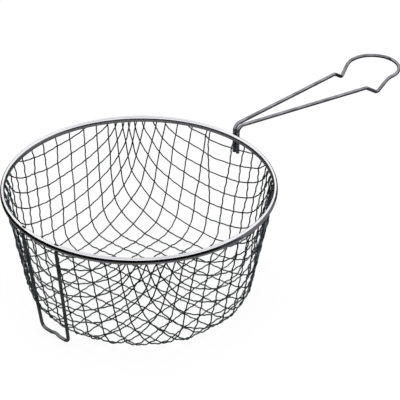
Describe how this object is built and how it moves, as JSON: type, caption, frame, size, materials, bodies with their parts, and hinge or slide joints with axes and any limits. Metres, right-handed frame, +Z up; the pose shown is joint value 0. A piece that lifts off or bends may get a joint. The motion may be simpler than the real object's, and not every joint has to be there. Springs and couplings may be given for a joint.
{
  "type": "deep fryer basket",
  "caption": "Round wire-mesh basket for deep frying, with a rolled metal rim, a long bent-wire handle and a U-shaped draining leg.",
  "frame": {"origin": "on the table, under the middle of the whole length from the bowl's edge to the end of the grip", "axes": "+X runs from the draining leg across the bowl to the grip, and +Z is up"},
  "size_m": [0.3862, 0.2006, 0.0992],
  "materials": {
    "tinned_wire": "dull tinned",
    "polished_strip": "polished",
    "plated_handle_wire": "bright plated",
    "plated_leg_wire": "bright plated"
  },
  "bodies": {
    "root": {"draining_leg": "plated_leg_wire", "handle": "plated_handle_wire", "rolled_rim": "polished_strip", "warp_wire_01": "tinned_wire", "warp_wire_02": "tinned_wire", "warp_wire_03": "tinned_wire", "warp_wire_04": "tinned_wire", "warp_wire_05": "tinned_wire", "warp_wire_06": "tinned_wire", "warp_wire_07": "tinned_wire", "warp_wire_08": "tinned_wire", "warp_wire_09": "tinned_wire", "warp_wire_10": "tinned_wire", "warp_wire_11": "tinned_wire", "warp_wire_12": "tinned_wire", "warp_wire_13": "tinned_wire", "warp_wire_14": "tinned_wire", "warp_wire_15": "tinned_wire", "warp_wire_16": "tinned_wire", "warp_wire_17": "tinned_wire", "warp_wire_18": "tinned_wire", "warp_wire_19": "tinned_wire", "warp_wire_20": "tinned_wire", "warp_wire_21": "tinned_wire", "warp_wire_22": "tinned_wire", "warp_wire_23": "tinned_wire", "warp_wire_24": "tinned_wire", "warp_wire_25": "tinned_wire", "warp_wire_26": "tinned_wire", "weft_wire_01": "tinned_wire", "weft_wire_02": "tinned_wire", "weft_wire_03": "tinned_wire", "weft_wire_04": "tinned_wire", "weft_wire_05": "tinned_wire", "weft_wire_06": "tinned_wire", "weft_wire_07": "tinned_wire", "weft_wire_08": "tinned_wire", "weft_wire_09": "tinned_wire", "weft_wire_10": "tinned_wire", "weft_wire_11": "tinned_wire", "weft_wire_12": "tinned_wire", "weft_wire_13": "tinned_wire", "weft_wire_14": "tinned_wire", "weft_wire_15": "tinned_wire", "weft_wire_16": "tinned_wire", "weft_wire_17": "tinned_wire", "weft_wire_18": "tinned_wire", "weft_wire_19": "tinned_wire", "weft_wire_20": "tinned_wire", "weft_wire_21": "tinned_wire", "weft_wire_22": "tinned_wire", "weft_wire_23": "tinned_wire", "weft_wire_24": "tinned_wire", "weft_wire_25": "tinned_wire", "weft_wire_26": "tinned_wire"}
  },
  "joints": []
}
